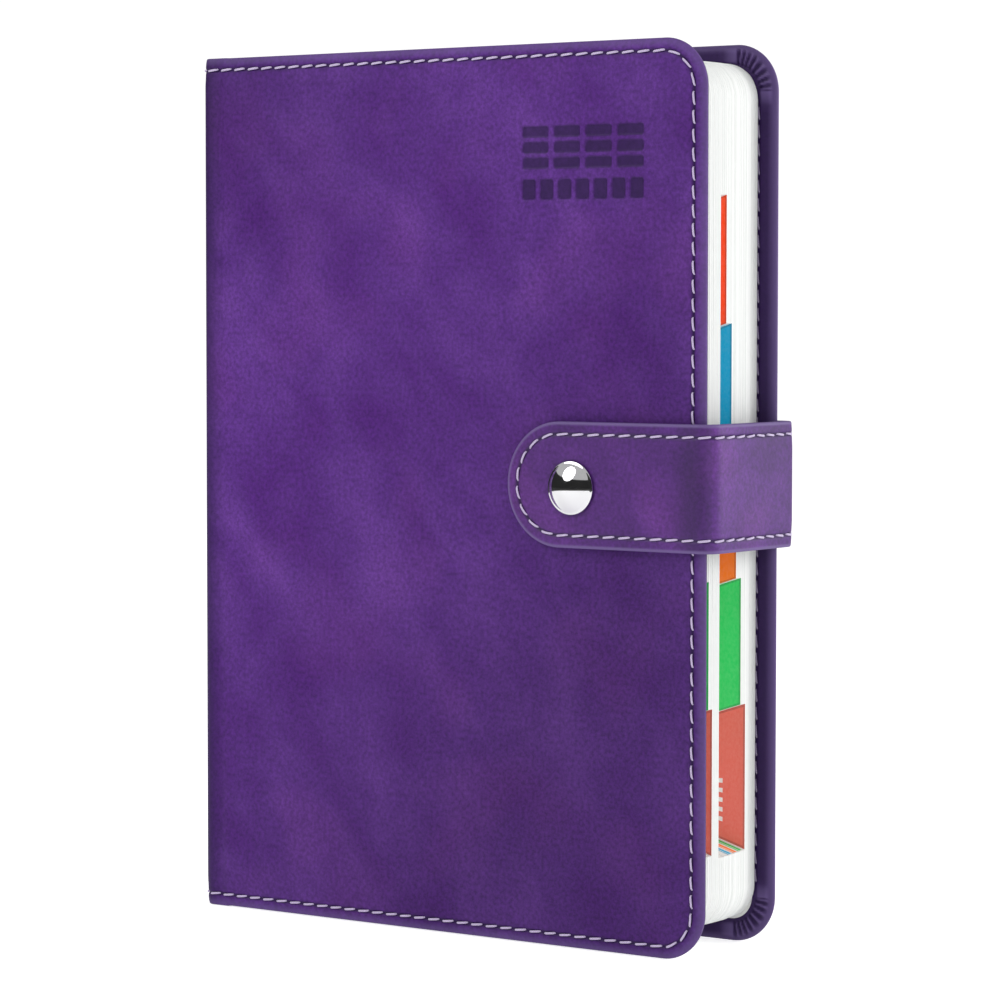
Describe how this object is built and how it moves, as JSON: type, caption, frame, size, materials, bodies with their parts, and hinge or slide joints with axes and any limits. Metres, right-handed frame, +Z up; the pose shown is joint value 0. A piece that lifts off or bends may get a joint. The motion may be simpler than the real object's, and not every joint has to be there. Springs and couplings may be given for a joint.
{
  "type": "monthly planner",
  "caption": "Upright soft-leather monthly planner with stitched covers, a snap strap round the fore-edge and stepped index tabs cut into the pages.",
  "frame": {"origin": "centre of the foot of the whole closed planner's box, strap and snap included, on the surface it stands on", "axes": "+X from the spine to the fore-edge, +Y from the front cover to the back cover, +Z up the spine from tail to head"},
  "size_m": [0.1558, 0.0422, 0.215],
  "materials": {
    "cover_leather": "soft mottled suede-like face",
    "strap_leather": "soft mottled suede-like face",
    "strap_lining": "matte",
    "thread": "twisted thread",
    "greyboard": "matte",
    "endpaper": "matte",
    "page_paper": "matte",
    "tab_paper": "matte, index tab printed in one colour",
    "band": "woven",
    "mull": "open weave",
    "glue": "cured hot melt",
    "snap_chrome": "polished dome",
    "snap_metal": "plated"
  },
  "bodies": {
    "block": {"spine_leather": "cover_leather", "spine_board": "greyboard", "spine_mull": "mull", "spine_glue": "glue", "spine_stitching": "thread", "headband": "band", "tailband": "band", "sewn_gutters": "page_paper", "notes_pages": "page_paper", "back_flyleaf": "endpaper"},
    "front_cover": {"front_cover_leather": "cover_leather", "front_cover_board": "greyboard", "front_pastedown": "endpaper", "front_cover_stitching": "thread", "snap_stud": "snap_metal", "snap_post": "snap_metal"},
    "back_cover": {"back_cover_leather": "cover_leather", "back_cover_board": "greyboard", "back_pastedown": "endpaper", "back_cover_stitching": "thread", "strap_anchor_outer": "strap_leather", "strap_anchor_lining": "strap_lining", "strap_anchor_stitching": "thread"},
    "strap_side": {"strap_side_outer": "strap_leather", "strap_side_lining": "strap_lining", "strap_side_stitching": "thread"},
    "strap_flap": {"strap_flap_outer": "strap_leather", "strap_flap_lining": "strap_lining", "strap_flap_stitching": "thread", "snap_cap": "snap_chrome", "snap_socket": "snap_metal", "snap_spring": "snap_metal"},
    "front_matter": {"front_flyleaf": "endpaper", "front_matter": "page_paper"},
    "january": {"january_tab_leaf": "tab_paper", "january_pages": "page_paper"},
    "february": {"february_tab_leaf": "tab_paper", "february_pages": "page_paper"},
    "march": {"march_tab_leaf": "tab_paper", "march_pages": "page_paper"},
    "april": {"april_tab_leaf": "tab_paper", "april_pages": "page_paper"},
    "may": {"may_tab_leaf": "tab_paper", "may_pages": "page_paper"},
    "june": {"june_tab_leaf": "tab_paper", "june_pages": "page_paper"},
    "july": {"july_tab_leaf": "tab_paper", "july_pages": "page_paper"},
    "august": {"august_tab_leaf": "tab_paper", "august_pages": "page_paper"},
    "september": {"september_tab_leaf": "tab_paper", "september_pages": "page_paper"},
    "october": {"october_tab_leaf": "tab_paper", "october_pages": "page_paper"},
    "november": {"november_tab_leaf": "tab_paper", "november_pages": "page_paper"},
    "december": {"december_tab_leaf": "tab_paper", "december_pages": "page_paper"}
  },
  "joints": [
    {"name": "front_cover_hinge", "type": "hinge", "parent": "block", "child": "front_cover", "pos_m": [-0.0736, -0.01578, 0.1075], "axis": [0, 0, -1], "range_deg": [0, 180], "deforming": ["strap_flap_outer", "strap_flap_lining", "strap_flap_stitching", "snap_cap", "snap_socket", "snap_spring"]},
    {"name": "back_cover_hinge", "type": "hinge", "parent": "block", "child": "back_cover", "pos_m": [-0.0736, 0.01872, 0.1075], "axis": [0, 0, 1], "range_deg": [0, 180], "deforming": ["strap_flap_outer", "strap_flap_lining", "strap_flap_stitching", "snap_cap", "snap_socket", "snap_spring"]},
    {"name": "strap_side_fold", "type": "hinge", "parent": "back_cover", "child": "strap_side", "pos_m": [0.07614, 0.01933, 0.11065], "axis": [0, 0, 1], "range_deg": [0, 135]},
    {"name": "strap_flap_fold", "type": "hinge", "parent": "strap_side", "child": "strap_flap", "pos_m": [0.07614, -0.01696, 0.11065], "axis": [0, 0, 1], "range_deg": [0, 90]},
    {"name": "front_matter_fold", "type": "hinge", "parent": "block", "child": "front_matter", "pos_m": [-0.0696, -0.01243, 0.1075], "axis": [0, 0, -1], "range_deg": [0, 126.01]},
    {"name": "january_fold", "type": "hinge", "parent": "block", "child": "january", "pos_m": [-0.06843, -0.01123, 0.1075], "axis": [0, 0, -1], "range_deg": [0, 119.01]},
    {"name": "february_fold", "type": "hinge", "parent": "block", "child": "february", "pos_m": [-0.06735, -0.00983, 0.1075], "axis": [0, 0, -1], "range_deg": [0, 112.01]},
    {"name": "march_fold", "type": "hinge", "parent": "block", "child": "march", "pos_m": [-0.06649, -0.00843, 0.1075], "axis": [0, 0, -1], "range_deg": [0, 105.01]},
    {"name": "april_fold", "type": "hinge", "parent": "block", "child": "april", "pos_m": [-0.06581, -0.00702, 0.1075], "axis": [0, 0, -1], "range_deg": [0, 98.01]},
    {"name": "may_fold", "type": "hinge", "parent": "block", "child": "may", "pos_m": [-0.06531, -0.00562, 0.1075], "axis": [0, 0, -1], "range_deg": [0, 91.01]},
    {"name": "june_fold", "type": "hinge", "parent": "block", "child": "june", "pos_m": [-0.06499, -0.00422, 0.1075], "axis": [0, 0, -1], "range_deg": [0, 84.01]},
    {"name": "july_fold", "type": "hinge", "parent": "block", "child": "july", "pos_m": [-0.06499, -0.00153, 0.1075], "axis": [0, 0, -1], "range_deg": [0, 73.01]},
    {"name": "august_fold", "type": "hinge", "parent": "block", "child": "august", "pos_m": [-0.06499, 0.00077, 0.1075], "axis": [0, 0, -1], "range_deg": [0, 62.51]},
    {"name": "september_fold", "type": "hinge", "parent": "block", "child": "september", "pos_m": [-0.06499, 0.00308, 0.1075], "axis": [0, 0, -1], "range_deg": [0, 52.01]},
    {"name": "october_fold", "type": "hinge", "parent": "block", "child": "october", "pos_m": [-0.06499, 0.00537, 0.1075], "axis": [0, 0, -1], "range_deg": [0, 41.51]},
    {"name": "november_fold", "type": "hinge", "parent": "block", "child": "november", "pos_m": [-0.06499, 0.00768, 0.1075], "axis": [0, 0, -1], "range_deg": [0, 31.01]},
    {"name": "december_fold", "type": "hinge", "parent": "block", "child": "december", "pos_m": [-0.06499, 0.00997, 0.1075], "axis": [0, 0, -1], "range_deg": [0, 20.51]}
  ],
  "couplings": [
    {"joint": "strap_flap_fold", "follows": "strap_side_fold", "ratio": 0.66667},
    {"joint": "front_matter_fold", "follows": "front_cover_hinge", "ratio": 0.7},
    {"joint": "january_fold", "follows": "front_cover_hinge", "ratio": 0.66111},
    {"joint": "february_fold", "follows": "front_cover_hinge", "ratio": 0.62222},
    {"joint": "march_fold", "follows": "front_cover_hinge", "ratio": 0.58333},
    {"joint": "april_fold", "follows": "front_cover_hinge", "ratio": 0.54444},
    {"joint": "may_fold", "follows": "front_cover_hinge", "ratio": 0.50556},
    {"joint": "june_fold", "follows": "front_cover_hinge", "ratio": 0.46667},
    {"joint": "july_fold", "follows": "front_cover_hinge", "ratio": 0.40556},
    {"joint": "august_fold", "follows": "front_cover_hinge", "ratio": 0.34722},
    {"joint": "september_fold", "follows": "front_cover_hinge", "ratio": 0.28889},
    {"joint": "october_fold", "follows": "front_cover_hinge", "ratio": 0.23056},
    {"joint": "november_fold", "follows": "front_cover_hinge", "ratio": 0.17222},
    {"joint": "december_fold", "follows": "front_cover_hinge", "ratio": 0.11389}
  ]
}
